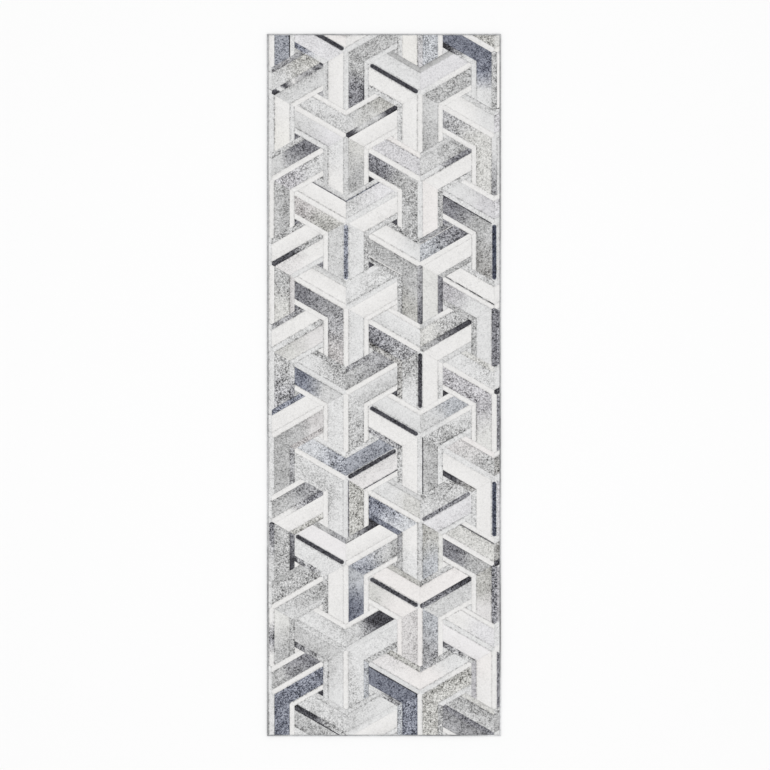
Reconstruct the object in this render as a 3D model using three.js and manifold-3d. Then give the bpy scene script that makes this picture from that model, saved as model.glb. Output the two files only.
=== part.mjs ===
// Runner rug: a low cut-pile runner whose face is a field of interlocking three-armed blocks.
//
// Millimetres. X runs across the runner, Y along it with the head end at +Y, and Z up off the floor.
// The origin is the middle of the underside, on the floor.
//
// From the floor up it is a woven backing cloth, a coat of latex, the ground cloth that the tufts
// are set in, and the pile. Edge yarn is overcast round all four sides. Each block of the pattern is
// a stand of tufts of its own: it touches its neighbours, but is tied only to the ground cloth below.
import * as THREE from 'three';
import { mergeVertices } from 'three/addons/utils/BufferGeometryUtils.js';
import Module from 'manifold-3d';

const wasm = await Module();
wasm.setup();

// ---- Overall size ----
const LENGTH = 2286; // over the edge yarn
const WIDTH = 762;

// ---- Layers, from the floor up ----
const BACKING_THICKNESS = 1.2;
const LATEX_THICKNESS = 0.5;
const GROUND_THICKNESS = 0.8;
const PILE_HEIGHT = 5.5;

// ---- Pattern ----
const REPEAT = 278.5; // from one block's junction to the next one down the column
const ARM_HALF_WIDTH = 74; // the same for a block's three arms
const KEY_BLOCK = { x: -123.8, y: -27 }; // junction of the block that the others are counted from
const TUFT_AREA = 16; // a stand of tufts has at least one tuft

// ---- Edge yarn ----
const EDGE_BAND = 5; // width of the overcasting on the face
const EDGE_HEIGHT = 6.6;
const EDGE_WRAP = 1.2; // yarn outside the cut edge of the cloths
const EDGE_LIP = 0.7; // yarn under the backing cloth
const EDGE_ROUNDING = 1.8; // radius of the two upper corners of the band
const EDGE_CORNER_ARCS = 5;

// ---- Care label, blank, sewn to the underside near the foot ----
const LABEL = { width: 62, height: 36, thickness: 0.4, fromSide: 70, fromFoot: 80 };
const LABEL_POCKET_DEPTH = 0.5;

// ---- Clearances ----
const GAP = 0.3; // between neighbours that stand side by side
const SLIP = 0.1; // between the edge yarn and the cloths it holds

// ---- What follows from the sizes above ----
const backingTop = BACKING_THICKNESS;
const latexTop = backingTop + LATEX_THICKNESS;
const groundTop = latexTop + GROUND_THICKNESS;
const COS_30 = Math.cos(Math.PI / 6);
const TAN_30 = Math.tan(Math.PI / 6);
const columnPitch = REPEAT * COS_30;

const finish = {
  pile: { color: 0xc4c4c3, roughness: 0.95, metalness: 0 },
  ground: { color: 0xb9b5aa, roughness: 0.95, metalness: 0 },
  latex: { color: 0xd9d4c4, roughness: 0.6, metalness: 0 },
  backing: { color: 0xcbbf9f, roughness: 0.95, metalness: 0 },
  edge: { color: 0x9b9d9e, roughness: 0.85, metalness: 0 },
  label: { color: 0xf2f1ec, roughness: 0.6, metalness: 0 },
};

const rug = new THREE.Group();

function addPiece(name, geometry, look) {
  const mesh = new THREE.Mesh(geometry, new THREE.MeshStandardMaterial(look));
  mesh.name = name;
  rug.add(mesh);
}

// ---- Solids ----

function toSolid(geometry) {
  const bare = geometry.clone();
  bare.deleteAttribute('normal');
  bare.deleteAttribute('uv');
  const merged = mergeVertices(bare);
  return new wasm.Manifold(new wasm.Mesh({
    numProp: 3,
    vertProperties: new Float32Array(merged.attributes.position.array),
    triVerts: new Uint32Array(merged.index.array),
  }));
}

function toGeometry(solid) {
  const mesh = solid.getMesh();
  const geometry = new THREE.BufferGeometry();
  geometry.setAttribute('position', new THREE.BufferAttribute(mesh.vertProperties, 3));
  geometry.setIndex(new THREE.BufferAttribute(mesh.triVerts, 1));
  geometry.computeVertexNormals();
  return geometry;
}

// A box from its size across and along, its two heights and its middle.
function slab(width, length, bottom, top, middle = { x: 0, y: 0 }) {
  const box = new THREE.BoxGeometry(width, length, top - bottom);
  box.translate(middle.x, middle.y, (top + bottom) / 2);
  return box;
}

// ---- Cloths: both reach into the slot of the edge yarn ----

const clothWidth = WIDTH - 2 * EDGE_WRAP - 2 * GAP;
const clothLength = LENGTH - 2 * EDGE_WRAP - 2 * GAP;
const openWidth = WIDTH - 2 * EDGE_BAND - 2 * GAP; // the field inside the edge yarn
const openLength = LENGTH - 2 * EDGE_BAND - 2 * GAP;
const labelMiddle = {
  x: -WIDTH / 2 + LABEL.fromSide + LABEL.width / 2,
  y: -LENGTH / 2 + LABEL.fromFoot + LABEL.height / 2,
};

// The yarn squeezes the rim of the backing cloth, so that the underside lies flat.
function backingCloth() {
  const rim = toSolid(slab(clothWidth, clothLength, EDGE_LIP + SLIP, backingTop));
  const field = toSolid(slab(openWidth, openLength, 0, backingTop));
  const pocket = toSolid(slab(
    LABEL.width + 2 * GAP, LABEL.height + 2 * GAP,
    -LABEL_POCKET_DEPTH, LABEL_POCKET_DEPTH, labelMiddle,
  ));
  return toGeometry(rim.add(field).subtract(pocket));
}

addPiece('backing_cloth', backingCloth(), finish.backing);
addPiece('latex_coat', slab(clothWidth, clothLength, backingTop, latexTop), finish.latex);
addPiece('ground_cloth', slab(clothWidth, clothLength, latexTop, groundTop), finish.ground);
addPiece('care_label', slab(LABEL.width, LABEL.height, 0, LABEL.thickness, labelMiddle), finish.label);

// ---- Pile ----

// Outline of one block round its junction, drawn in by the margin. Three arms point up to the right,
// up to the left and down. Each has parallel sides and a blunt point that fills the crook between
// two arms of the next block. That leaves a small three-sided corner wherever three blocks meet, and
// the foot of the lower arm flares out on both sides to fill it, so the blocks cover the plane.
function blockOutline(margin) {
  const half = ARM_HALF_WIDTH - margin;
  const crook = half / COS_30; // junction to the corner between two arms
  const tip = REPEAT - (ARM_HALF_WIDTH + margin) / COS_30;
  const shoulder = tip - half * TAN_30;
  const corner = REPEAT - (2 * ARM_HALF_WIDTH) / TAN_30; // side of the three-sided corner
  const ankleDrop = ARM_HALF_WIDTH / TAN_30;
  const ankle = { x: half, y: -ankleDrop - margin * TAN_30 };
  const heel = { x: ARM_HALF_WIDTH + corner * COS_30 - 2 * margin, y: -ankleDrop - corner / 2 };
  const turned = (along, across, turn) => (
    new THREE.Vector2(along, across).rotateAround({ x: 0, y: 0 }, turn)
  );
  const points = [];
  for (const turn of [Math.PI / 6, (5 * Math.PI) / 6]) {
    points.push(turned(shoulder, -half, turn), turned(tip, 0, turn), turned(shoulder, half, turn));
    points.push(turned(crook, 0, turn + Math.PI / 3));
  }
  points.push(new THREE.Vector2(-ankle.x, ankle.y), new THREE.Vector2(-heel.x, heel.y));
  points.push(new THREE.Vector2(0, -tip));
  points.push(new THREE.Vector2(heel.x, heel.y), new THREE.Vector2(ankle.x, ankle.y));
  points.push(turned(crook, 0, -Math.PI / 6));
  return new THREE.Shape(points);
}

function addPile() {
  const upright = new THREE.ExtrudeGeometry(blockOutline(GAP / 2), {
    depth: PILE_HEIGHT, bevelEnabled: false,
  });
  const block = toSolid(upright);
  const field = toSolid(slab(openWidth, openLength, groundTop, groundTop + PILE_HEIGHT));
  const leftColumn = Math.ceil((-openWidth / 2 - REPEAT - KEY_BLOCK.x) / columnPitch);
  const rightColumn = Math.floor((openWidth / 2 + REPEAT - KEY_BLOCK.x) / columnPitch);
  const rows = Math.ceil(openLength / REPEAT) + 2;
  let columnLetter = 'a'.charCodeAt(0);
  for (let column = leftColumn; column <= rightColumn; column += 1) {
    const raised = column % 2 === 0 ? 0 : REPEAT / 2; // every other column is half a repeat up
    let number = 0;
    for (let row = rows; row >= -rows; row -= 1) {
      const x = KEY_BLOCK.x + column * columnPitch;
      const y = KEY_BLOCK.y + raised + row * REPEAT;
      const stands = block.translate([x, y, groundTop]).intersect(field).decompose()
        .filter((stand) => stand.volume() > TUFT_AREA * PILE_HEIGHT);
      if (stands.length > 0) number += 1;
      stands.forEach((stand, part) => {
        const suffix = stands.length > 1 ? `_${part + 1}` : '';
        const name = `pile_block_${String.fromCharCode(columnLetter)}${number}${suffix}`;
        addPiece(name, toGeometry(stand), finish.pile);
      });
    }
    if (number > 0) columnLetter += 1;
  }
}

addPile();

// ---- Edge yarn ----

// Section of the overcasting, X outwards from the inner edge of the band and Y up. The slot that
// holds the cloths opens inwards, and the upper corners are round.
function edgeSection() {
  const round = EDGE_ROUNDING;
  const slotEnd = EDGE_BAND - EDGE_WRAP;
  const section = new THREE.Shape();
  section.moveTo(0, 0);
  section.lineTo(EDGE_BAND, 0);
  section.lineTo(EDGE_BAND, EDGE_HEIGHT - round);
  section.absarc(EDGE_BAND - round, EDGE_HEIGHT - round, round, 0, Math.PI / 2, false);
  section.lineTo(round, EDGE_HEIGHT);
  section.absarc(round, EDGE_HEIGHT - round, round, Math.PI / 2, Math.PI, false);
  section.lineTo(0, groundTop + SLIP);
  section.lineTo(slotEnd, groundTop + SLIP);
  section.lineTo(slotEnd, EDGE_LIP);
  section.lineTo(0, EDGE_LIP);
  return section;
}

// One run of edge yarn along Y, its outer face at the given distance out along +X. Both ends are
// mitred: each end point is drawn back by as much as it lies inside the outer face.
function edgeRun(run, out) {
  const geometry = new THREE.ExtrudeGeometry(edgeSection(), {
    depth: run, steps: 1, bevelEnabled: false, curveSegments: EDGE_CORNER_ARCS,
  });
  const place = geometry.attributes.position;
  for (let i = 0; i < place.count; i += 1) {
    const inset = EDGE_BAND - place.getX(i);
    const end = place.getZ(i) > run / 2 ? 1 : -1;
    place.setXYZ(i, out - inset, -end * (run / 2 - inset - GAP / 2), place.getY(i));
  }
  return geometry;
}

const edges = [
  { name: 'edge_yarn_right', run: LENGTH, out: WIDTH / 2, turn: 0 },
  { name: 'edge_yarn_head', run: WIDTH, out: LENGTH / 2, turn: Math.PI / 2 },
  { name: 'edge_yarn_left', run: LENGTH, out: WIDTH / 2, turn: Math.PI },
  { name: 'edge_yarn_foot', run: WIDTH, out: LENGTH / 2, turn: -Math.PI / 2 },
];
for (const { name, run, out, turn } of edges) {
  addPiece(name, edgeRun(run, out), finish.edge);
  rug.children.at(-1).rotation.z = turn;
}

export default rug;
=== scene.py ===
import math
import bpy
import numpy as np
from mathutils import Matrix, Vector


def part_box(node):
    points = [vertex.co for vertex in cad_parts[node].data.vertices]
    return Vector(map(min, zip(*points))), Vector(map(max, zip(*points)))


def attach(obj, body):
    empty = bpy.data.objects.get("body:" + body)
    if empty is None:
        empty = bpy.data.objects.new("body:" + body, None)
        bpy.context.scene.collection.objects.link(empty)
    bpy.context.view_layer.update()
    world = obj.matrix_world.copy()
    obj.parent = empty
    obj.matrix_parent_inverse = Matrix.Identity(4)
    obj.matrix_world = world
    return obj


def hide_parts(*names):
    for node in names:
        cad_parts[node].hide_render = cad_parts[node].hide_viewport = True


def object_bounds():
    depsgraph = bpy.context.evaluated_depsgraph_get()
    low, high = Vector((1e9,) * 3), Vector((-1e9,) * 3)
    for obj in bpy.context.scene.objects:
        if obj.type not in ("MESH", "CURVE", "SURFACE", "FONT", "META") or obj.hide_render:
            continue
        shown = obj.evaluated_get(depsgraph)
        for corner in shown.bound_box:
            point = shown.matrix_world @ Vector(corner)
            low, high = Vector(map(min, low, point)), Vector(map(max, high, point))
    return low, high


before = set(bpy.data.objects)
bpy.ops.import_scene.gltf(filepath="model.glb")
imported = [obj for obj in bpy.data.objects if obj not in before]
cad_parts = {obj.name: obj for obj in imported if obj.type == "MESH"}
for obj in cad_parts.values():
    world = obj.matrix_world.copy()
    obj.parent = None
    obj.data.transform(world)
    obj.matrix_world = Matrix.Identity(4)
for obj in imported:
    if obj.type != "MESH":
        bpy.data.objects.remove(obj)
cad_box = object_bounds()

# Runner rug: a low cut-pile runner whose face is a patchwork of brindled hide shades.
# Metres. X runs across the runner, Y along it with the head end at +Y, Z up off the floor.
#
# The pile is made block by block. A block has three arms round a junction, and each arm is a set of
# bands that run along it. Every band is a stand of tufts of one shade, given in DESIGN below.

MM = 0.001
COS_30 = math.cos(math.pi / 6)
TAN_30 = math.tan(math.pi / 6)
draw = np.random.default_rng(20)  # every random draw of the scene, in order

# ---- Pile ----
TUFT_PITCH = 2.0 * MM
TUFT_HEIGHT_SPREAD = 1.1 * MM
TUFT_LEAN = 0.55 * MM  # how far a tip stands from its place in the row
BAND_GAP = 0.03 * MM  # between stands of tufts, each side
BAND_SHOULDER = 0.9 * MM  # width of the rounding where two stands meet
BAND_GROOVE = 0.35 * MM  # depth of that rounding
FRINGE_WIDTH = 2.6 * MM  # dark dye along the sides of a band
FRINGE_DEPTH = 0.34
CROSS_TILT = 0.07  # how much the two sides of a grained band may differ from its middle
GRAIN = 0.23  # swing of the brindle on a middling shade
SMOOTH = 0.3  # share of the brindle left on a smooth band
GRAIN_FLOOR = 0.012  # on the palest and the darkest
GRAIN_VARIETY = 0.4  # how much stronger or weaker it may be from band to band
CLEAR = 0.15 * MM  # half the clearance between two blocks

# Half widths of the bands, measured across an arm from its centre line.
RIB = 8.5 * MM
FACE = 58.0 * MM
STRIP_HALF = 6.9 * MM
THREAD = 3.2 * MM  # a fine line sewn in between two bands

# A solid strip stops this far short of the junction and of the tip, and its rim is this soft.
STRIP_FROM_JUNCTION = 9.0 * MM
STRIP_FROM_TIP = 6.0 * MM
STRIP_BLUR = 1.2 * MM

# Where a shade gives way to the next, and where dashes break it up.
CHANGE_WANDER = 0.08  # of a band's length
DASH_WAVES = (6.1 * MM, 9.7 * MM)
DASH_SLANT = 0.6
DASH_BEND = 2.0 * MM
PATCH_WAVES = (9.0 * MM, 3.7 * MM)  # along which the dark dye of a band's sides comes and goes

# ---- Edge yarn ----
WRAP_PITCH = 3.2 * MM
WRAP_RISE = 0.42 * MM
WRAP_SLANT = 1.6 * MM  # how far a wrap travels along the edge while it crosses the face
CORNER_FAN = 22.0 * MM  # stretch over which the wraps turn towards the corner
WRAP_STEPS = np.array([0.02, 0.22, 0.5, 0.78])  # cuts through one wrap, as shares of the pitch
EDGE_ROUNDING = 1.9 * MM
EDGE_LIP = 0.7 * MM  # yarn under the cloths
EDGE_WALL = 1.2 * MM  # yarn outside their cut edge
EDGE_SLIP = 0.1 * MM
EDGE_FROM_PILE = 0.3 * MM
MITRE_GAP = 0.15 * MM  # half the gap between two sides at a corner
YARN_GREY = 0.70
YARN_DRIFT = 0.07
# Painted shade: how much darker the yarn is coloured in the valleys between the wraps.
VALLEY_PAINTED_SHADE = 0.22
WRAP_CONTRAST = 0.05

# ---- Cloths ----
BACKING_CELL = 4.6 * MM
BACKING_RELIEF = 0.32 * MM
HIDDEN_CELL = 9.0 * MM
LABEL_POCKET = 0.3 * MM
LABEL_CLEARANCE = 0.1 * MM
SQUEEZED_RIM = 0.8 * MM  # height of the backing's underside where the edge yarn holds it
WAVE_SCALE = 2 * math.pi / 20  # scale at which a Wave texture repeats once a metre

# ---- Studio ----
ROOM_BRIGHTNESS = 0.84
PICTURE_WIDTH = 1.0955  # of the rug's length
PICTURE_SHIFT = 0.00142  # of the rug's length

# ---- Hide shades, as a dyer would mix them: display values of red, green and blue ----
SHADES = {
    "w": (0.92, 0.915, 0.91),
    "p": (0.87, 0.87, 0.87),
    "l": (0.81, 0.81, 0.81),
    "n": (0.76, 0.76, 0.76),
    "m": (0.70, 0.70, 0.70),
    "g": (0.60, 0.60, 0.61),
    "d": (0.46, 0.46, 0.48),
    "k": (0.25, 0.25, 0.27),
}
# What a second letter after the shade does to it.
TINTS = {
    "b": (-0.016, -0.003, 0.022),  # bluish
    "r": (0.014, -0.004, -0.006),  # blush
    "t": (0.008, 0.003, -0.016),  # taupe
    "v": (0.002, -0.006, 0.012),  # lavender
}

# The design, block by block. Letters a to d are the columns from the left, numbers count down from the
# head. T is an arm's upper face, V the strip along its upper edge, U the rib down its middle, A its
# lower face and S the strip below that, with 1 for the left arm and 2 for the right. M is the rib of
# the lower arm, L and R its faces, E its outer strips and C the small corners at its foot.
# A>B runs from the arm's outer end to the junction, or down the lower arm. A bar between two bands is
# a fine line between them. ~ breaks a shade up, _ makes it smooth, and ! makes a solid strip with
# round ends.
DESIGN = {
    "a1": "M=w R=gb R|E2=k E2=p C2=m",
    "a2": "T2=mt>l V2=g U2=k~>w>k~ A2=l R=w>wt M=p S2=w E2=p C2=d",
    "a3": "T2=d>l V2=m U2=w A2=l>mv M=w R=m S2=w E2=w C2=d",
    "a4": "T2=w V2=m U2=m>k A2=w>pr R=m>lt M=w S2=p E2=lr C2=d",
    "a5": "T2=w V2=g U2=m~>p A2=pr>lt R=m>g M=p S2=p E2=l>d C2=m",
    "a6": "T2=w V2=db U2=w A2=lr>m R=m M=p S2=mr E2=g C2=p",
    "a7": "T2=g>m V2=w U2=d>w A2=w R=m M=d>l S2=mt E2=d>k C2=w",
    "a8": "T2=m V2=m U2=w A2=m>l R=pt>m M=w>d>w S2=l E2=m C2=w",
    "a9": "T2=d>m V2=w U2=w A2=db R=db M=p S2=w E2=w C2=p",
    "b1": "T1=wr T2=w U1=k! U2=p M=p A1=pv L=w A2=m R=m>d S1=db>p E1=l S2=p R|E2=m>k E2=p C1=g C2=p",
    "b2": "T1=l T2=mt>l V1=w V2=w U1=w U2=k>l>k M=l A1=l>pv L=p>w A2=w R=lt>m S1=p E1=l S2=w E2=w C1=m"
          " C2=k",
    "b3": "T1=w T2=pv>l V1=l V1|T1=d V2=l U1=w U2=p M=db! A1=mr>mt L=l A2=w R=p S1=w E1=w S2=l E2=m"
          " C1=d C2=k V2|T2=db",
    "b4": "T1=w T2=l>p V1=l V2=p U1=w U2=p M=w A1=d>g L=g>mr A2=w R=p S1=w E1=w S2=w E2=w C1=w C2=p",
    "b5": "T1=p>m T2=g>m V1=m V2=g U1=p U2=w M=w A1=db>l L=p A2=l R=l>m S1=w E1=w S2=w E2=w C1=w C2=p",
    "b6": "T1=lb>gb T2=gb V1=p V2=l U1=w U2=k! M=p A1=l L=l>p A2=pr M|R=d R=mt S1=l E1=w A2|S2=d S2=w"
          " E2=w C1=w C2=k",
    "b7": "T1=wv T2=w V1=m>g V2=k>m U1=k! U2=w M=w A1=p L=w A2=m>gb R=mb>db S1=k~>l E1=m S2=w E2=w"
          " C1=w C2=w",
    "b8": "T1=p>l T2=k>l V1=w V2=w U1=l U2=p M=w A1=n L=l>p A2=p R=p>l S1=k~>m E1=l S2=m E2=mb C1=k"
          " C2=p",
    "b9": "T1=l T2=p>l V1=l V2=l U1=k>m U1|A1=k U2=p A1=m A2=w",
    "c1": "M=m>lv L=wt E1=l R=mb E2=w C1=m C2=p",
    "c2": "T1=p T2=pv V1=m_ V2=m_ U1=k! U2=w>p M=w A1=w L=w A2=m R=l>m S1=l E1=l S2=w E2=w C1=w C2=p",
    "c3": "T1=lv T2=m>l V1=wr V2=l U1=w U2=d>p M=p A1=d>m L=m A2=w R=wr S1=w E1=w S2=l E2=m C1=k C2=d",
    "c4": "T1=w>p T2=d>mb V2|T2=w V1=m V2=g U1=w U2=w M=g>d A1=m L=m>mt A2=w R=pt S1|A1=w S1=m E1=m"
          " S2=m E2=d C1=w C2=p",
    "c5": "T1=p T2=m>lt V1=w V2=w>l U1=w U2=k>m M=k! A1=d>g L=m>p A2=w R=w S1=gt E1=gt S2=l E2=w>l"
          " C1=k C2=k",
    "c6": "T1=p T2=mb>l V1=w V2=w U1=k! U2=w>p M=p A1=w L=w A2=l>m M|R=k R=m S1=g E1=m S2=p E2=p C1=p"
          " C2=p",
    "c7": "T1=p>lt T2=m>l V1=l V2=m U1=w U2=d! M=l A1=db>lb L=w>p A2=pv R=mt>mb S1=db E1=g>m S2=p"
          " E2=pt C1=m C2=w",
    "c8": "T1=wr T2=wr V1=mt V2=l>m U1=k! U2=k>d M=wr A1=lt>wr L=lr A2=l R=mb>g S1=w E1=wr S2=w E2=w"
          " C1=p C2=p",
    "c9": "T1=pr>wr T2=p>wr V1=mt V2=m>g U1=p U1|A1=k U2=w>p M=w A1=db L=db A2=mt R=mt S1=p>g E1=mb"
          " S2=p E2=m C1=p C2=p",
    "d1": "T1=mt U1=w A1=db L=db>p S1=k>p E1=p M=m R=w U2=wt T2=lt C1=p",
    "d2": "T1=w>p V1=l V2=l U1=w T2=lv A1=g>lt L=lt S1=w E1=w M=p>g R=p C1=p",
    "d3": "T1=p>lv V1=w V2=w U1=p U1|A1=k A1=d>m L=m>gt S1=w E1=w M=kb! R=l T2=lv C1=p",
    "d4": "T1=w V1=l U1=w T1|U1=k~ A1=mv>p L=p S1=m E1=m M=d R=d T2=w U2=w C1=p",
    "d5": "T1=p>l V1=lt V2=l U1=w A1=mv L=mv>pt S1=w E1=w M=w R=d U2=k C1=p",
    "d6": "T1=lr>m V1=wr V2=w U1=p T2=gt A1=w L=w S1=k>gt E1=l M=kb! R=lv U2=p C1=p",
    "d7": "T1=lt V1=w V1|T1=d U1=w T2=gt A1=d>m L=mt>pr S1=w E1=w M=d R=mv U2=k C1=p",
    "d8": "T1=w>pv V1=w U1=p T2=p A1=wv L=wr>w S1=k~>m E1=mv M=w R=d U2=w C1=p",
    "d9": "T1=m V1=lt V2=m U1=d T2=m A1=g S1=w C1=p",
}
UNLISTED = "p"  # the order of a band that the design leaves out
BETWEEN = np.array(SHADES["p"])  # colour round a solid strip and in the gaps of a broken shade


# ---- What follows from the frame ----

def corners(node):
    """A node's lowest and highest corner as two arrays."""
    low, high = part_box(node)
    return np.array(low), np.array(high)


pile_nodes = sorted(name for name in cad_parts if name.startswith("pile_block_"))
pile_low = np.min([corners(node)[0] for node in pile_nodes], axis=0)
pile_high = np.max([corners(node)[1] for node in pile_nodes], axis=0)
key_low, key_high = corners("pile_block_b5")
repeat = key_low[1] - corners("pile_block_b6")[0][1]
column_pitch = repeat * COS_30
arm_half = column_pitch - (key_high[0] - key_low[0]) / 2 - CLEAR
arm_tip = repeat - arm_half / COS_30
key_junction = np.array([(key_low[0] + key_high[0]) / 2, key_low[1] + arm_tip - CLEAR / COS_30])


def junction(block):
    """The junction of a block, from its column letter and its number down from the head."""
    column = "abcd".index(block[0])
    raised = repeat / 2 if block[0] in "ac" else 0.0
    x = key_junction[0] + (column - 1) * column_pitch
    return np.array([x, key_junction[1] + raised - (int(block[1:]) - 5) * repeat])


# ---- Meshes ----

def loft_faces(rings, around):
    """Faces of a closed body lofted through rings of equal count: a quad for each step along and
    round, and one many-sided cap at each end. Returns corner indices and where each face starts."""
    i, j = np.meshgrid(np.arange(rings - 1), np.arange(around), indexing="ij")
    following = (j + 1) % around
    quads = np.stack(
        [i * around + j, i * around + following, (i + 1) * around + following, (i + 1) * around + j],
        axis=-1,
    ).reshape(-1, 4)
    first_cap = np.arange(around)[::-1]
    last_cap = (rings - 1) * around + np.arange(around)
    loops = np.concatenate([quads.ravel(), first_cap, last_cap])
    starts = np.concatenate([
        np.arange(len(quads)) * 4,
        [len(quads) * 4, len(quads) * 4 + around],
    ])
    return loops, starts


def make_piece(name, bodies, material, attributes=None, smooth=True):
    """One object from closed bodies, each given as an array of rings by points by three."""
    points, loops, starts = [], [], []
    point_count = 0
    loop_count = 0
    for rings in bodies:
        body_loops, body_starts = loft_faces(rings.shape[0], rings.shape[1])
        points.append(rings.reshape(-1, 3))
        loops.append(body_loops + point_count)
        starts.append(body_starts + loop_count)
        point_count += rings.shape[0] * rings.shape[1]
        loop_count += len(body_loops)
    points = np.concatenate(points).astype(np.float32)
    loops = np.concatenate(loops).astype(np.int32)
    starts = np.concatenate(starts).astype(np.int32)
    mesh = bpy.data.meshes.new(name)
    mesh.vertices.add(len(points))
    mesh.vertices.foreach_set("co", points.ravel())
    mesh.loops.add(len(loops))
    mesh.loops.foreach_set("vertex_index", loops)
    mesh.polygons.add(len(starts))
    mesh.polygons.foreach_set("loop_start", starts)
    mesh.polygons.foreach_set("use_smooth", np.full(len(starts), smooth))
    mesh.update(calc_edges=True)
    mesh.validate()
    for label, values in (attributes or {}).items():
        values = np.concatenate(values).astype(np.float32)
        if values.ndim == 2:
            layer = mesh.attributes.new(label, "FLOAT_COLOR", "POINT")
            values = np.concatenate([values, np.ones((len(values), 1), np.float32)], axis=1)
            layer.data.foreach_set("color", values.ravel())
        else:
            layer = mesh.attributes.new(label, "FLOAT", "POINT")
            layer.data.foreach_set("value", values)
    mesh.materials.append(material)
    piece = bpy.data.objects.new(name, mesh)
    bpy.context.scene.collection.objects.link(piece)
    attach(piece, "root")
    return piece


def stepped(marks, pitch):
    """Values from the first mark to the last, through each mark, in even steps no longer than pitch."""
    runs = [
        np.linspace(a, b, max(1, math.ceil((b - a) / pitch)), endpoint=False)
        for a, b in zip(marks[:-1], marks[1:])
    ]
    return np.concatenate(runs + [[marks[-1]]])


# ---- Slow drifts of shade ----

drift_waves = [
    (draw.uniform(0.06, 0.22), draw.uniform(0, 2 * math.pi), draw.uniform(0, 2 * math.pi))
    for _ in range(9)
]


def drift(x, y):
    """A smooth wander between about -1 and 1: the mean of nine plane waves of hand-width length."""
    total = 0.0
    for length, heading, phase in drift_waves:
        along = x * math.cos(heading) + y * math.sin(heading)
        total = total + np.sin(2 * math.pi * along / length + phase)
    return total / math.sqrt(len(drift_waves))


# ---- Materials ----

def new_material(name):
    """An empty node material. Returns it with its nodes, its links and its shader."""
    material = bpy.data.materials.new(name)
    material.use_nodes = True
    nodes = material.node_tree.nodes
    return material, nodes, material.node_tree.links, nodes["Principled BSDF"]


def add_node(nodes, kind, inputs=None, **settings):
    """A node of the given kind with its settings and its input values."""
    node = nodes.new(kind)
    for key, value in settings.items():
        setattr(node, key, value)
    for key, value in (inputs or {}).items():
        node.inputs[key].default_value = value
    return node


def math_node(nodes, links, operation, a, b=None, clamp=False):
    """A Math node. a and b are each a socket or a number."""
    node = add_node(nodes, "ShaderNodeMath", operation=operation, use_clamp=clamp)
    for slot, value in zip(node.inputs, (a, b)):
        if isinstance(value, bpy.types.NodeSocket):
            links.new(value, slot)
        elif value is not None:
            slot.default_value = value
    return node.outputs[0]


def noise(nodes, links, place, scale, detail=2.0, roughness=0.5):
    """A Noise texture's value."""
    node = add_node(nodes, "ShaderNodeTexNoise", {"Scale": scale, "Detail": detail, "Roughness": roughness})
    links.new(place, node.inputs["Vector"])
    return node.outputs["Fac"]


def swing(nodes, links, value, gain):
    """A texture value turned into a swing either side of nought."""
    return math_node(nodes, links, "MULTIPLY", math_node(nodes, links, "SUBTRACT", value, 0.5), gain)


def pile_material():
    """Cut pile: a shade from the design, broken up by brindle, single tufts and fine fibre."""
    material, nodes, links, shader = new_material("brindled_pile")
    place = add_node(nodes, "ShaderNodeTexCoord").outputs["Object"]
    shade = add_node(nodes, "ShaderNodeAttribute", attribute_name="shade").outputs["Color"]
    grain = add_node(nodes, "ShaderNodeAttribute", attribute_name="grain").outputs["Fac"]

    brindle = swing(nodes, links, noise(nodes, links, place, 200.0, 2.0, 0.65), 5.5)
    tufts = add_node(nodes, "ShaderNodeTexVoronoi", {"Scale": 430.0})
    links.new(place, tufts.inputs["Vector"])
    tuft_split = add_node(nodes, "ShaderNodeSeparateColor")
    links.new(tufts.outputs["Color"], tuft_split.inputs["Color"])
    tuft = swing(nodes, links, tuft_split.outputs["Red"], 1.6)
    cloud = swing(nodes, links, noise(nodes, links, place, 36.0, 3.0, 0.6), 2.2)
    mix = math_node(nodes, links, "ADD", brindle, tuft)
    mix = math_node(nodes, links, "ADD", mix, cloud)
    # Dark hairs stand out further than pale ones: the swing is bent down by its own square.
    square = math_node(nodes, links, "SUBTRACT", math_node(nodes, links, "MULTIPLY", mix, mix), 0.55)
    mix = math_node(nodes, links, "SUBTRACT", mix, math_node(nodes, links, "MULTIPLY", square, 0.28))
    mix = math_node(nodes, links, "MULTIPLY", mix, grain)
    fibre = swing(nodes, links, noise(nodes, links, place, 1500.0, 1.0, 0.5), 0.05)
    mix = math_node(nodes, links, "ADD", mix, fibre)

    coloured = add_node(nodes, "ShaderNodeVectorMath", operation="ADD")
    links.new(shade, coloured.inputs[0])
    links.new(mix, coloured.inputs[1])
    limited = add_node(nodes, "ShaderNodeVectorMath", operation="MAXIMUM")
    links.new(coloured.outputs[0], limited.inputs[0])
    limited.inputs[1].default_value = (0.12, 0.12, 0.12)
    capped = add_node(nodes, "ShaderNodeVectorMath", operation="MINIMUM")
    links.new(limited.outputs[0], capped.inputs[0])
    capped.inputs[1].default_value = (0.955, 0.955, 0.955)
    dyed = add_node(nodes, "ShaderNodeGamma", {"Gamma": 2.2})
    links.new(capped.outputs[0], dyed.inputs["Color"])
    paled = add_node(nodes, "ShaderNodeVectorMath", operation="SCALE")
    links.new(dyed.outputs[0], paled.inputs[0])
    paled.inputs["Scale"].default_value = 0.945
    links.new(paled.outputs[0], shader.inputs["Base Color"])

    rough = add_node(nodes, "ShaderNodeMapRange", {"To Min": 0.82, "To Max": 1.0})
    links.new(noise(nodes, links, place, 700.0), rough.inputs["Value"])
    links.new(rough.outputs[0], shader.inputs["Roughness"])
    shader.inputs["Specular IOR Level"].default_value = 0.15
    shader.inputs["Sheen Weight"].default_value = 0.12
    shader.inputs["Sheen Roughness"].default_value = 0.6

    bump = add_node(nodes, "ShaderNodeBump", {"Strength": 0.8, "Distance": 0.0009})
    links.new(noise(nodes, links, place, 1100.0, 2.0, 0.6), bump.inputs["Height"])
    links.new(bump.outputs[0], shader.inputs["Normal"])
    return material


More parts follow.
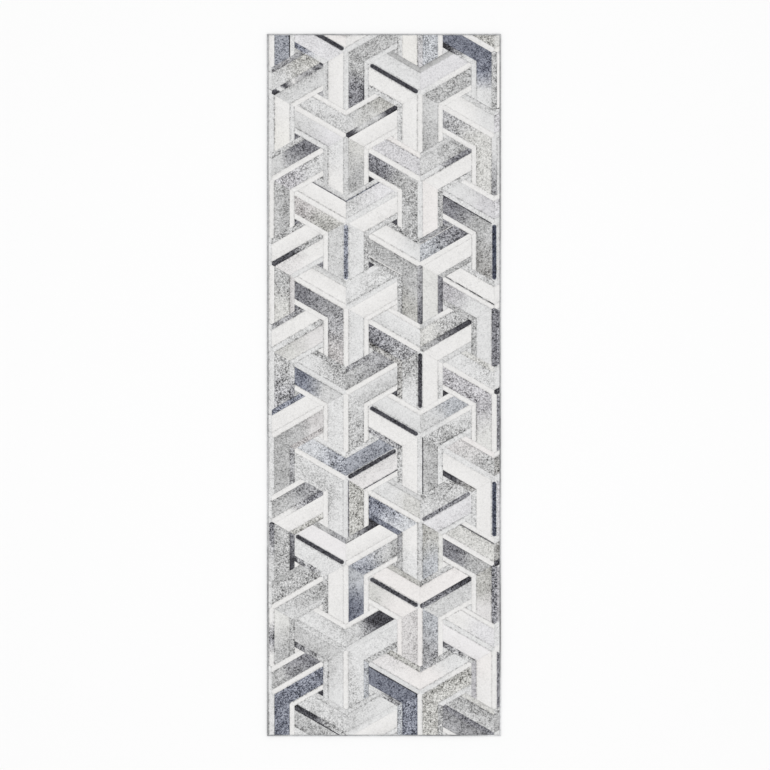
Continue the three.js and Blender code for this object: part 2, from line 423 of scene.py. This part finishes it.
def yarn_material():
    """Heathered edge yarn: a drifting grey, flecked along the ply, with painted shade between the wraps."""
    material, nodes, links, shader = new_material("heather_yarn")
    place = add_node(nodes, "ShaderNodeTexCoord").outputs["Object"]
    shade = add_node(nodes, "ShaderNodeAttribute", attribute_name="shade").outputs["Color"]
    fleck = swing(nodes, links, noise(nodes, links, place, 520.0, 3.0, 0.7), 0.55)
    cloud = swing(nodes, links, noise(nodes, links, place, 60.0, 2.0, 0.5), 0.25)
    mix = math_node(nodes, links, "ADD", fleck, cloud)
    coloured = add_node(nodes, "ShaderNodeVectorMath", operation="ADD")
    links.new(shade, coloured.inputs[0])
    links.new(mix, coloured.inputs[1])
    dyed = add_node(nodes, "ShaderNodeGamma", {"Gamma": 2.2})
    links.new(coloured.outputs[0], dyed.inputs["Color"])
    links.new(dyed.outputs[0], shader.inputs["Base Color"])
    rough = add_node(nodes, "ShaderNodeMapRange", {"To Min": 0.7, "To Max": 0.95})
    links.new(noise(nodes, links, place, 600.0), rough.inputs["Value"])
    links.new(rough.outputs[0], shader.inputs["Roughness"])
    shader.inputs["Specular IOR Level"].default_value = 0.25
    shader.inputs["Sheen Weight"].default_value = 0.15
    bump = add_node(nodes, "ShaderNodeBump", {"Strength": 0.5, "Distance": 0.0003})
    links.new(noise(nodes, links, place, 1600.0, 2.0, 0.6), bump.inputs["Height"])
    links.new(bump.outputs[0], shader.inputs["Normal"])
    return material


def woven_material(name, base, spread, threads_per_metre, rough_range):
    """Plain woven cloth: two crossing sets of threads with slubs and a slow change of shade."""
    material, nodes, links, shader = new_material(name)
    place = add_node(nodes, "ShaderNodeTexCoord").outputs["Object"]
    height = None
    for axis in ("X", "Y"):
        threads = add_node(
            nodes, "ShaderNodeTexWave",
            {"Scale": threads_per_metre * WAVE_SCALE, "Distortion": 0.6, "Detail": 1.0,
             "Detail Scale": 2.0},
            wave_type="BANDS", bands_direction=axis,
        )
        links.new(place, threads.inputs["Vector"])
        value = threads.outputs["Fac"]
        height = value if height is None else math_node(nodes, links, "MULTIPLY", height, value)
    slub = swing(nodes, links, noise(nodes, links, place, 300.0, 3.0, 0.65), 0.5)
    cloud = swing(nodes, links, noise(nodes, links, place, 12.0, 2.0, 0.5), 0.3)
    mix = math_node(nodes, links, "ADD", math_node(nodes, links, "ADD", slub, cloud), height)
    ramp = add_node(nodes, "ShaderNodeValToRGB")
    dark = [max(0.0, channel - spread) for channel in base]
    light = [min(1.0, channel + spread) for channel in base]
    ramp.color_ramp.elements[0].color = (*dark, 1.0)
    ramp.color_ramp.elements[1].color = (*light, 1.0)
    links.new(mix, ramp.inputs["Fac"])
    links.new(ramp.outputs["Color"], shader.inputs["Base Color"])
    rough = add_node(nodes, "ShaderNodeMapRange", {"To Min": rough_range[0], "To Max": rough_range[1]})
    links.new(noise(nodes, links, place, 500.0), rough.inputs["Value"])
    links.new(rough.outputs[0], shader.inputs["Roughness"])
    bump = add_node(nodes, "ShaderNodeBump", {"Strength": 0.6, "Distance": 0.0003})
    links.new(mix, bump.inputs["Height"])
    links.new(bump.outputs[0], shader.inputs["Normal"])
    return material


# ---- Pile ----

def arm_bands():
    """Each arm as its heading and its bands (name, low side, high side). Across an arm, positive is
    to the left when looking out along it."""
    out = arm_half
    return [
        (math.radians(30), [("S2", -out, -FACE), ("A2", -FACE, -RIB), ("U2", -RIB, RIB),
                            ("T2", RIB, FACE), ("V2", FACE, out)]),
        (math.radians(150), [("V1", -out, -FACE), ("T1", -FACE, -RIB), ("U1", -RIB, RIB),
                             ("A1", RIB, FACE), ("S1", FACE, out)]),
        (math.radians(270), [("E1", -out, -FACE), ("L", -FACE, -RIB), ("M", -RIB, RIB),
                             ("R", RIB, FACE), ("E2", FACE, out)]),
    ]


def with_threads(bands, orders):
    """The bands of an arm, with a fine line put in wherever the design asks for one."""
    result = [list(bands[0])]
    for band in bands[1:]:
        before = result[-1]
        band = list(band)
        for name in (f"{before[0]}|{band[0]}", f"{band[0]}|{before[0]}"):
            if name in orders:
                edge = band[1]
                before[2] = edge - THREAD / 2
                band[1] = edge + THREAD / 2
                result.append([name, before[2], band[1]])
        result.append(band)
    return result


def band_outline(low, high):
    """Corners of a band as (along, across): mitred at the junction and pointed at the arm's tip."""
    marks = [low, 0.0, high] if low < 0 < high else [low, high]
    inner = [(abs(across) * TAN_30, across) for across in marks]
    outer = [(arm_tip - abs(across) * TAN_30, across) for across in marks]
    return np.array(inner[::-1] + outer)


def band_place(along, across):
    """Share of the way from the junction's mitre to the pointed end, at the same distance across."""
    mitre = np.abs(across) * TAN_30
    return np.clip((along - mitre) / np.maximum(arm_tip - 2 * mitre, MM), 0, 1)


def corner_outline(side):
    """The three-sided corner beside the foot of the lower arm, as (along, across)."""
    ankle = arm_half / TAN_30
    shoulder = arm_tip - arm_half * TAN_30
    heel = (shoulder - ankle) * COS_30
    points = [(ankle, arm_half), (shoulder, arm_half), ((ankle + shoulder) / 2, arm_half + heel)]
    return np.array([(along, side * across) for along, across in points])


def to_world(points, heading, middle):
    """Points (along, across) of an arm turned to its heading and set at its junction."""
    along, across = points[..., 0], points[..., 1]
    x = middle[0] + along * math.cos(heading) - across * math.sin(heading)
    y = middle[1] + along * math.sin(heading) + across * math.cos(heading)
    return np.stack([x, y], axis=-1)


def to_arm(points, heading, middle):
    """The other way: world points back to (along, across) of an arm."""
    x, y = points[..., 0] - middle[0], points[..., 1] - middle[1]
    along = x * math.cos(heading) + y * math.sin(heading)
    return np.stack([along, -x * math.sin(heading) + y * math.cos(heading)], axis=-1)


def trimmed(outline, low, high):
    """A convex outline cut back to the field: each side of the field cuts off what lies past it."""
    for axis in (0, 1):
        for sign, limit in ((1, high[axis]), (-1, low[axis])):
            kept = []
            for a, b in zip(outline, np.roll(outline, -1, axis=0)):
                room_a = sign * (limit - a[axis])
                room_b = sign * (limit - b[axis])
                if room_a >= 0:
                    kept.append(a)
                if room_a * room_b < 0:
                    kept.append(a + (b - a) * room_a / (room_a - room_b))
            if len(kept) < 3:
                return None
            outline = np.array(kept)
    return outline


def stand_of_tufts(outline):
    """A convex outline (along, across) filled with tuft tips. Rows cross the outline at even steps,
    each row runs from its left edge to its right edge, and both lists are closer at the rim.
    Returns along, across and how far in from the rim each tip stands, rows by columns."""
    marks = np.unique(np.round(outline[:, 1], 6))
    low, high = marks[0] + BAND_GAP, marks[-1] - BAND_GAP
    marks = np.concatenate([[low], marks[(marks > low) & (marks < high)], [high]])
    rows = stepped(marks, TUFT_PITCH)
    shoulder = min(BAND_SHOULDER, (high - low) / 4)
    rows = np.unique(np.concatenate([rows[(rows < low + 1e-7) | (rows > low + 1.4 * shoulder)],
                                     [low + shoulder]]))
    rows = np.unique(np.concatenate([rows[(rows > high - 1e-7) | (rows < high - 1.4 * shoulder)],
                                     [high - shoulder]]))
    start, end = outline, np.roll(outline, -1, axis=0)
    span = end[:, 1] - start[:, 1]
    level = np.abs(span) < 1e-9
    share = (rows[:, None] - start[:, 1]) / np.where(level, 1.0, span)
    crossing = start[:, 0] + share * (end[:, 0] - start[:, 0])
    outside = level | (share < -1e-6) | (share > 1 + 1e-6)
    left = np.where(outside, np.inf, crossing).min(axis=1)
    right = np.where(outside, -np.inf, crossing).max(axis=1)
    slack = np.maximum(0.0, 0.2 * MM - (right - left)) / 2
    left, right = left - slack + BAND_GAP, right + slack - BAND_GAP
    width = right - left
    rim = np.minimum(BAND_SHOULDER, width / 4)
    count = max(3, math.ceil(width.max() / TUFT_PITCH))
    even = np.linspace(0.0, 1.0, count)
    inner = (left + rim)[:, None] + even * (width - 2 * rim)[:, None]
    along = np.concatenate([left[:, None], inner, right[:, None]], axis=1)
    across = np.broadcast_to(rows[:, None], along.shape)
    inset = np.minimum(
        np.minimum(along - left[:, None], right[:, None] - along),
        np.minimum(across - rows[0], rows[-1] - across),
    )
    return along, across, inset


def shade_of(word):
    """Display colour of a shade word such as 'm' or 'gb'. A tint is faint on pale shades and strong on
    dark ones: tint * (1.7 - 1.4 * lightness)."""
    shade = np.array(SHADES[word[0]])
    tint = np.zeros(3)
    for letter in word[1:]:
        if letter in TINTS:
            tint = tint + TINTS[letter]
    return shade + tint * (1.7 - 1.4 * shade.mean())


def shade_run(order, place, along, across, x, y):
    """Colours along a band: each shade of its order has an equal share of the length and is truest in
    the middle of it, and a slow drift bends the change from one to the next. Where the order says so,
    pale gaps break the shade up: they open where two waves along the band, bent across it, add up to
    little."""
    words = order.split(">")
    stops = (np.arange(len(words)) + 0.5) / len(words)
    place = place + CHANGE_WANDER * drift(x, y)
    colours = np.array([shade_of(word) for word in words])
    mixed = np.stack([np.interp(place, stops, colours[:, c]) for c in range(3)], axis=-1)
    if "~" in order:
        broken = np.interp(place, stops, [1.0 if "~" in word else 0.0 for word in words])
        bend = along + DASH_SLANT * across + DASH_BEND * drift(x * 7, y * 7)
        waves = np.sin(bend / DASH_WAVES[0]) + np.sin(bend / DASH_WAVES[1] + 1.0)
        gap = np.clip(0.35 - 0.5 * waves, 0, 1)
        mixed = mixed + (BETWEEN - mixed) * (broken * gap)[..., None]
    return mixed


def brindle_swing(lightness):
    """How far the brindle swings round each shade: the floor plus GRAIN * sin(pi * s) ** 1.3, where s
    is the share of the way from well below the darkest shade to just above the palest. Each band has
    its own seeded strength."""
    dark, pale = SHADES["k"][0] - 0.20, SHADES["w"][0] + 0.02
    share = np.clip((lightness - dark) / (pale - dark), 0, 1)
    strength = 1 + GRAIN_VARIETY * draw.uniform(-1, 1)
    return GRAIN_FLOOR + GRAIN * strength * np.sin(math.pi * share) ** 1.3


def fringe(across, low, high, along):
    """How much darker the dye lies along a band's two sides: each side has its own strength, fades
    within a thread's width, and comes and goes along the band."""
    total = 0.0
    for distance in (across - low, high - across):
        strength = FRINGE_DEPTH * draw.random() ** 2
        phase = draw.uniform(0, 2 * math.pi)
        patchy = np.sin(along / PATCH_WAVES[0] + phase) * np.sin(along / PATCH_WAVES[1] + 2 * phase)
        total = total + strength * (0.6 + 0.4 * patchy) * np.exp(-(distance / FRINGE_WIDTH) ** 2)
    return total


def cross_tilt(across, low, high, lightness):
    """How much lighter a band is at a place across it: nought in the middle, up to CROSS_TILT at one
    side and as much darker at the other, fading out on pale shades as 4 * (1 - lightness)."""
    tilt = CROSS_TILT * draw.uniform(-1, 1) * (2 * across - low - high)
    return tilt / (high - low) * np.clip(4 - 4 * lightness, 0, 1)


def solid_strip(colour, half, along, across):
    """Colours of a solid strip: its shade inside a run with round ends, pale outside it."""
    start, end = STRIP_FROM_JUNCTION + half, arm_tip - STRIP_FROM_TIP - half
    beyond = np.maximum(0.0, np.maximum(start - along, along - end))
    distance = np.hypot(beyond, across)
    inside = np.clip((half - distance) / STRIP_BLUR + 0.5, 0.0, 1.0)[..., None]
    return BETWEEN * (1 - inside) + colour * inside


pile_top = pile_high[2]
pile_foot = pile_low[2]


def tuft_tips(along, across, inset):
    """Heights of the tips, and their small wander from their places. The height is the pile's top,
    less a random share of the spread, less a rounding that fades with the distance from the rim."""
    rounding = BAND_GROOVE * np.clip(1 - inset / (1.6 * BAND_SHOULDER), 0, 1) ** 2
    height = pile_top - TUFT_HEIGHT_SPREAD * draw.random(along.shape) - rounding
    loose = (inset > 0.6 * BAND_SHOULDER)[..., None]
    wander = TUFT_LEAN * (draw.random((*along.shape, 2)) * 2 - 1) * loose
    return height, wander


def make_block(block, material):
    """All the stands of tufts of one block, as one piece."""
    middle = junction(block)
    orders = dict(item.split("=") for item in DESIGN[block].split())
    bodies, shades, grains = [], [], []
    for heading, bands in arm_bands():
        outlines = [(name, band_outline(low, high)) for name, low, high in with_threads(bands, orders)]
        if heading > math.pi:
            outlines += [("C1", corner_outline(-1)), ("C2", corner_outline(1))]
        for name, outline in outlines:
            kept = trimmed(to_world(outline, heading, middle), pile_low, pile_high)
            if kept is None:
                continue
            kept = to_arm(kept, heading, middle)
            size = kept.max(axis=0) - kept.min(axis=0)
            if min(size) < 0.5 * MM:
                continue
            along, across, inset = stand_of_tufts(kept)
            height, wander = tuft_tips(along, across, inset)
            spot = np.stack([along, across], axis=-1) + wander
            flat = to_world(spot, heading, middle)
            flat = np.clip(flat, pile_low[:2], pile_high[:2])
            tips = np.concatenate([flat, height[..., None]], axis=-1)
            feet = tips[:, [-1, 0]].copy()
            feet[..., 2] = pile_foot
            rings = np.concatenate([tips, feet], axis=1)
            bodies.append(rings)

            order = orders.get(name, UNLISTED)
            ring_along = np.concatenate([spot[..., 0], spot[:, [-1, 0], 0]], axis=1)
            ring_across = np.concatenate([spot[..., 1], spot[:, [-1, 0], 1]], axis=1)
            x, y = rings[..., 0], rings[..., 1]
            place = band_place(ring_along, ring_across)
            if heading < math.pi:
                place = 1 - place
            colour = shade_run(order, place, ring_along, ring_across, x, y)
            if "!" in order:
                colour = solid_strip(colour, STRIP_HALF, ring_along, ring_across)
            else:
                low_side, high_side = outline[:, 1].min(), outline[:, 1].max()
                rim = fringe(ring_across, low_side, high_side, ring_along)
                colour = colour - (rim * np.minimum(colour.mean(axis=-1), 0.8))[..., None]
                tilt = cross_tilt(ring_across, low_side, high_side, colour.mean(axis=-1))
                colour = colour + tilt[..., None]
            lightness = colour.mean(axis=-1)
            shades.append(colour.reshape(-1, 3))
            evenness = SMOOTH if "_" in order else 1.0
            grains.append(evenness * brindle_swing(lightness).ravel())
    piece = make_piece(f"pile_{block}", bodies, material, {"shade": shades, "grain": grains})
    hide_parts(f"pile_block_{block}")
    return piece


# ---- Edge yarn ----

def edge_contour(width, height, lip, wall, slot_top):
    """Section of the overcasting as (out, up, freedom): it goes over the face, down the outside, back
    under the rug and round the slot that holds the cloths. Freedom is how far a wrap may swell."""
    arc = np.linspace(math.pi / 2, 0, 5)
    outer = np.stack([
        width - EDGE_ROUNDING + EDGE_ROUNDING * np.cos(arc),
        height - EDGE_ROUNDING + EDGE_ROUNDING * np.sin(arc),
        np.ones(5),
    ], axis=-1)
    inner = np.array([
        (0.0, height - EDGE_ROUNDING, 0.5),
        (0.35 * MM, height - 0.7 * MM, 0.9),
        (1.3 * MM, height, 1.0),
    ])
    below = np.array([
        (width, 0.9 * MM, 0.9),
        (width - 0.4 * MM, 0.15 * MM, 0.3),
        (width - 1.2 * MM, 0.0, 0.0),
        (0.0, 0.0, 0.0),
        (0.0, lip, 0.0),
        (width - wall, lip, 0.0),
        (width - wall, slot_top, 0.0),
        (0.0, slot_top, 0.0),
    ])
    return np.concatenate([inner, outer, below])


def make_edge(side, run, out, turn, material, cloth_top):
    """One side's overcasting: the section carried along the edge. Each wrap swells as a half circle of
    its pitch, leans as it crosses the face, and fans round to the mitre at both corners."""
    low, high = corners(f"edge_yarn_{side}")
    width = out - (pile_high[0] if side in ("left", "right") else pile_high[1]) - EDGE_FROM_PILE
    contour = edge_contour(width, high[2] - WRAP_RISE, EDGE_LIP, EDGE_WALL, cloth_top + EDGE_SLIP)
    wraps = round(run / WRAP_PITCH)
    turns = (np.arange(wraps)[:, None] + WRAP_STEPS).ravel() / wraps
    turns = np.concatenate([turns, [1.0]])
    along = (turns - 0.5) * run
    inset = (width - contour[:, 0])[None, :]
    slant = WRAP_SLANT * (contour[:, 0] / width - 0.5)[None, :] * (contour[:, 2] > 0)[None, :]
    near_end = np.clip((np.abs(along) - (run / 2 - CORNER_FAN)) / CORNER_FAN, 0, 1)[:, None]
    place = along[:, None] + slant * (1 - near_end) - np.sign(along)[:, None] * inset * near_end
    place = place - np.sign(along)[:, None] * MITRE_GAP * near_end
    phase = (turns * wraps) % 1.0
    swell = np.sqrt(np.clip(1 - (2 * phase - 1) ** 2, 0, 1))
    rank = np.floor(turns * wraps).astype(int)
    size = 0.8 + 0.4 * draw.random(wraps + 1)
    rise = WRAP_RISE * (swell * size[np.minimum(rank, wraps)])[:, None] * contour[:, 2][None, :]
    outward = np.array([contour[:, 0] - width * 0.5, contour[:, 1] - high[2] * 0.45])
    outward = outward / np.maximum(1e-9, np.linalg.norm(outward, axis=0))
    outer_side = (contour[:, 2] > 0) & (contour[:, 0] > width * 0.7)
    far = out - width + (contour[:, 0] - WRAP_RISE * outer_side)[None, :] + rise * outward[0][None, :]
    up = contour[:, 1][None, :] + rise * outward[1][None, :]
    far, up, place = np.broadcast_arrays(far, up, place)
    up = np.maximum(up, 0.0)
    x = far * math.cos(turn) - place * math.sin(turn)
    y = far * math.sin(turn) + place * math.cos(turn)
    rings = np.stack([x, y, up], axis=-1)
    base = YARN_GREY + YARN_DRIFT * drift(x * 0.35 + 3.0, y * 0.35)
    # Painted shade: the grey is darkened in the valleys between the wraps, where the swell is low.
    painted_valley_shade = (1 - swell)[:, None] * VALLEY_PAINTED_SHADE
    grey = base - painted_valley_shade - WRAP_CONTRAST * (draw.random(wraps + 1)[np.minimum(rank, wraps)] - 0.5)[:, None]
    shade = np.stack([grey, grey + 0.003, grey + 0.008], axis=-1)
    piece = make_piece(f"edge_{side}", [rings], material, {"shade": [shade.reshape(-1, 3)]})
    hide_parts(f"edge_yarn_{side}")
    return piece


# ---- Cloths ----

def woven_sheet(name, xs, ys, upper, lower, material):
    """A closed sheet: rows along Y, each a plain upper side and a lower side of full detail."""
    x, y = np.meshgrid(xs, ys)
    under = np.stack([x, y, lower(x, y)], axis=-1)[:, ::-1]
    over = np.stack([x, y, np.full_like(x, upper)], axis=-1)[:, [0, -1]]
    return make_piece(name, [np.concatenate([over, under], axis=1)], material)


def make_cloths(materials):
    """Backing, latex coat and ground cloth, from the floor up."""
    backing_low, backing_high = corners("backing_cloth")
    latex_low, latex_high = corners("latex_coat")
    ground_low, ground_high = corners("ground_cloth")
    label_low, label_high = corners("care_label")
    pocket = LABEL_POCKET
    edge = 0.05 * MM  # half the distance between the two lines of a doubled one

    marks_x = [backing_low[0], pile_low[0], label_low[0] - pocket, label_high[0] + pocket, pile_high[0],
               backing_high[0]]
    marks_y = [backing_low[1], pile_low[1], label_low[1] - pocket, label_high[1] + pocket, pile_high[1],
               backing_high[1]]

    def lines(marks):
        """Lines of the weave through the marks, doubled at each inner one so that a step is sharp."""
        doubled = sorted(value + shift for value in marks[1:-1] for shift in (-edge, edge))
        return stepped([marks[0], *doubled, marks[-1]], BACKING_CELL)

    def rank(values):
        """The number of each line of the weave, with the two lines of a doubled one counted as one."""
        return np.concatenate([[0], np.cumsum(np.diff(values) > 3 * edge)])

    def underside(x, y):
        """Basket weave: cells alternate up and down by the sign of two crossing waves. The rim is
        squeezed by the edge yarn, and the label sits in a shallow pocket."""
        column = rank(x[0])[None, :]
        row = rank(y[:, 0])[:, None]
        swell = 0.8 + 0.4 * draw.random(x.shape)[row, column]
        weave = BACKING_RELIEF * ((column + row) % 2) * swell
        inside = (x > pile_low[0]) & (x < pile_high[0]) & (y > pile_low[1]) & (y < pile_high[1])
        in_pocket = ((x > label_low[0] - pocket) & (x < label_high[0] + pocket)
                     & (y > label_low[1] - pocket) & (y < label_high[1] + pocket))
        height = np.where(inside, weave, SQUEEZED_RIM)
        return np.where(in_pocket, label_high[2] + LABEL_CLEARANCE, height)

    def plain(level):
        def surface(x, y):
            """Nearly flat, with a fine seeded unevenness."""
            return level + 0.06 * MM * draw.random(x.shape)
        return surface

    backing = woven_sheet("backing", lines(marks_x), lines(marks_y), backing_high[2], underside,
                          materials["backing"])
    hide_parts("backing_cloth")
    wide = stepped([latex_low[0], latex_high[0]], HIDDEN_CELL)
    long = stepped([latex_low[1], latex_high[1]], HIDDEN_CELL)
    latex = woven_sheet("latex", wide, long, latex_high[2], plain(latex_low[2]), materials["latex"])
    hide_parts("latex_coat")
    ground = woven_sheet("ground", wide, long, ground_high[2], plain(ground_low[2]), materials["ground"])
    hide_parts("ground_cloth")


# ---- Care label ----

def make_label(label_material, thread_material):
    """The blank label in its pocket, ribbed across, and the running stitch round it."""
    low, high = corners("care_label")
    recess = 0.14 * MM

    def ribbed(x, y):
        """Low ribs across the label: every other row stands a little lower, with a seeded wobble."""
        row = np.arange(x.shape[0])[:, None]
        return recess + 0.05 * MM * (row % 2) + 0.02 * MM * draw.random(x.shape)

    label = woven_sheet("label", stepped([low[0], high[0]], 1.0 * MM), stepped([low[1], high[1]], 0.5 * MM),
                        high[2], ribbed, label_material)
    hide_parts("care_label")

    margin, pitch, length, radius = 2.0 * MM, 3.4 * MM, 2.5 * MM, 0.17 * MM
    a, b = low[:2] + margin, high[:2] - margin
    legs = [(a, (b[0], a[1])), ((b[0], a[1]), b), (b, (a[0], b[1])), ((a[0], b[1]), a)]
    stitches = []
    for start, end in legs:
        start, end = np.array(start), np.array(end)
        run = np.linalg.norm(end - start)
        count = round(run / pitch)
        for place in (np.arange(count) + 0.5) / count:
            stitches.append(stitch(start + (end - start) * place, (end - start) / run, length, radius))
    thread = make_piece("label_stitching", stitches, thread_material)


def stitch(middle, way, length, radius):
    """One stitch: a short thread whose radius follows a quarter of a sine wave from each end to full
    at its middle, lying along its way with its ends sunk into the label."""
    share = np.linspace(0.06, 0.94, 6)[:, None]
    swell = np.sin(math.pi * share)
    angle = -np.arange(6)[None, :] * math.pi / 3
    side = np.array([-way[1], way[0]])
    offset = (share - 0.5) * length
    reach = radius * (0.35 + 0.65 * swell) * np.cos(angle)
    x = middle[0] + offset * way[0] + reach * side[0]
    y = middle[1] + offset * way[1] + reach * side[1]
    z = radius * (1.25 - 0.2 * swell) + radius * (0.35 + 0.65 * swell) * np.sin(angle)
    return np.stack(np.broadcast_arrays(x, y, z), axis=-1)


# ---- Floor, light and camera ----

def make_floor():
    """A plain pale floor under the rug."""
    material, _, _, shader = new_material("studio_floor")
    shader.inputs["Base Color"].default_value = (0.90, 0.90, 0.90, 1.0)
    shader.inputs["Roughness"].default_value = 0.9
    shader.inputs["Specular IOR Level"].default_value = 0.1
    mesh = bpy.data.meshes.new("floor")
    half = 30.0
    level = -0.3 * MM
    mesh.from_pydata([(-half, -half, level), (half, -half, level), (half, half, level),
                      (-half, half, level)], [], [(0, 1, 2, 3)])
    mesh.materials.append(material)
    floor = bpy.data.objects.new("floor", mesh)
    bpy.context.scene.collection.objects.link(floor)


def make_lights():
    """One wide soft box high over the rug, a lower one from the upper left, and a bright room."""
    for name, place, size, power in (
        ("overhead", (0.0, 0.0, 8.0), 7.0, 205.0),
        ("upper_left", (-5.0, 4.0, 5.0), 3.0, 160.0),
    ):
        light = bpy.data.lights.new(name, "AREA")
        light.size = size
        light.energy = power
        lamp = bpy.data.objects.new(name, light)
        lamp.location = place
        aim = -np.array(place) / np.linalg.norm(place)
        lamp.rotation_euler = (math.acos(-aim[2]), 0.0, math.atan2(aim[0], -aim[1]) if aim[0] else 0.0)
        bpy.context.scene.collection.objects.link(lamp)
    world = bpy.data.worlds.new("studio")
    world.use_nodes = True
    world.node_tree.nodes["Background"].inputs["Color"].default_value = (1.0, 1.0, 1.0, 1.0)
    world.node_tree.nodes["Background"].inputs["Strength"].default_value = ROOM_BRIGHTNESS
    bpy.context.scene.world = world
    bpy.context.scene.view_settings.view_transform = "Standard"


def make_camera():
    """Straight above the rug with the head end up. The picture is a little wider than the rug is long,
    and the rug stands a touch left of its middle."""
    low, high = cad_box
    length = high[1] - low[1]
    frame_width = length * PICTURE_WIDTH
    lens = 80.0
    sensor = 36.0
    camera_data = bpy.data.cameras.new("camera")
    camera_data.lens = lens
    camera_data.sensor_width = sensor
    camera_data.clip_end = 100.0
    camera = bpy.data.objects.new("camera", camera_data)
    camera.location = (length * PICTURE_SHIFT, 0.0, high[2] + frame_width * lens / sensor)
    bpy.context.scene.collection.objects.link(camera)
    bpy.context.scene.camera = camera


make_camera()
make_floor()
make_lights()

pile = pile_material()
for node in pile_nodes:
    make_block(node.removeprefix("pile_block_"), pile)

yarn = yarn_material()
cloth_top = corners("ground_cloth")[1][2]
low, high = (np.array(corner) for corner in cad_box)
rug_width, rug_length = (high - low)[:2]
for side, run, out, turn in (
    ("right", rug_length, rug_width / 2, 0.0),
    ("head", rug_width, rug_length / 2, math.pi / 2),
    ("left", rug_length, rug_width / 2, math.pi),
    ("foot", rug_width, rug_length / 2, -math.pi / 2),
):
    make_edge(side, run, out, turn, yarn, cloth_top)

make_cloths({
    "backing": woven_material("backing_weave", (0.56, 0.48, 0.33), 0.09, 440, (0.8, 1.0)),
    "latex": woven_material("latex_skin", (0.70, 0.65, 0.53), 0.04, 220, (0.5, 0.7)),
    "ground": woven_material("ground_weave", (0.50, 0.47, 0.41), 0.07, 880, (0.85, 1.0)),
})

make_label(
    woven_material("label_satin", (0.80, 0.79, 0.75), 0.04, 2000, (0.4, 0.6)),
    woven_material("label_thread", (0.74, 0.73, 0.70), 0.05, 3000, (0.5, 0.7)),
)
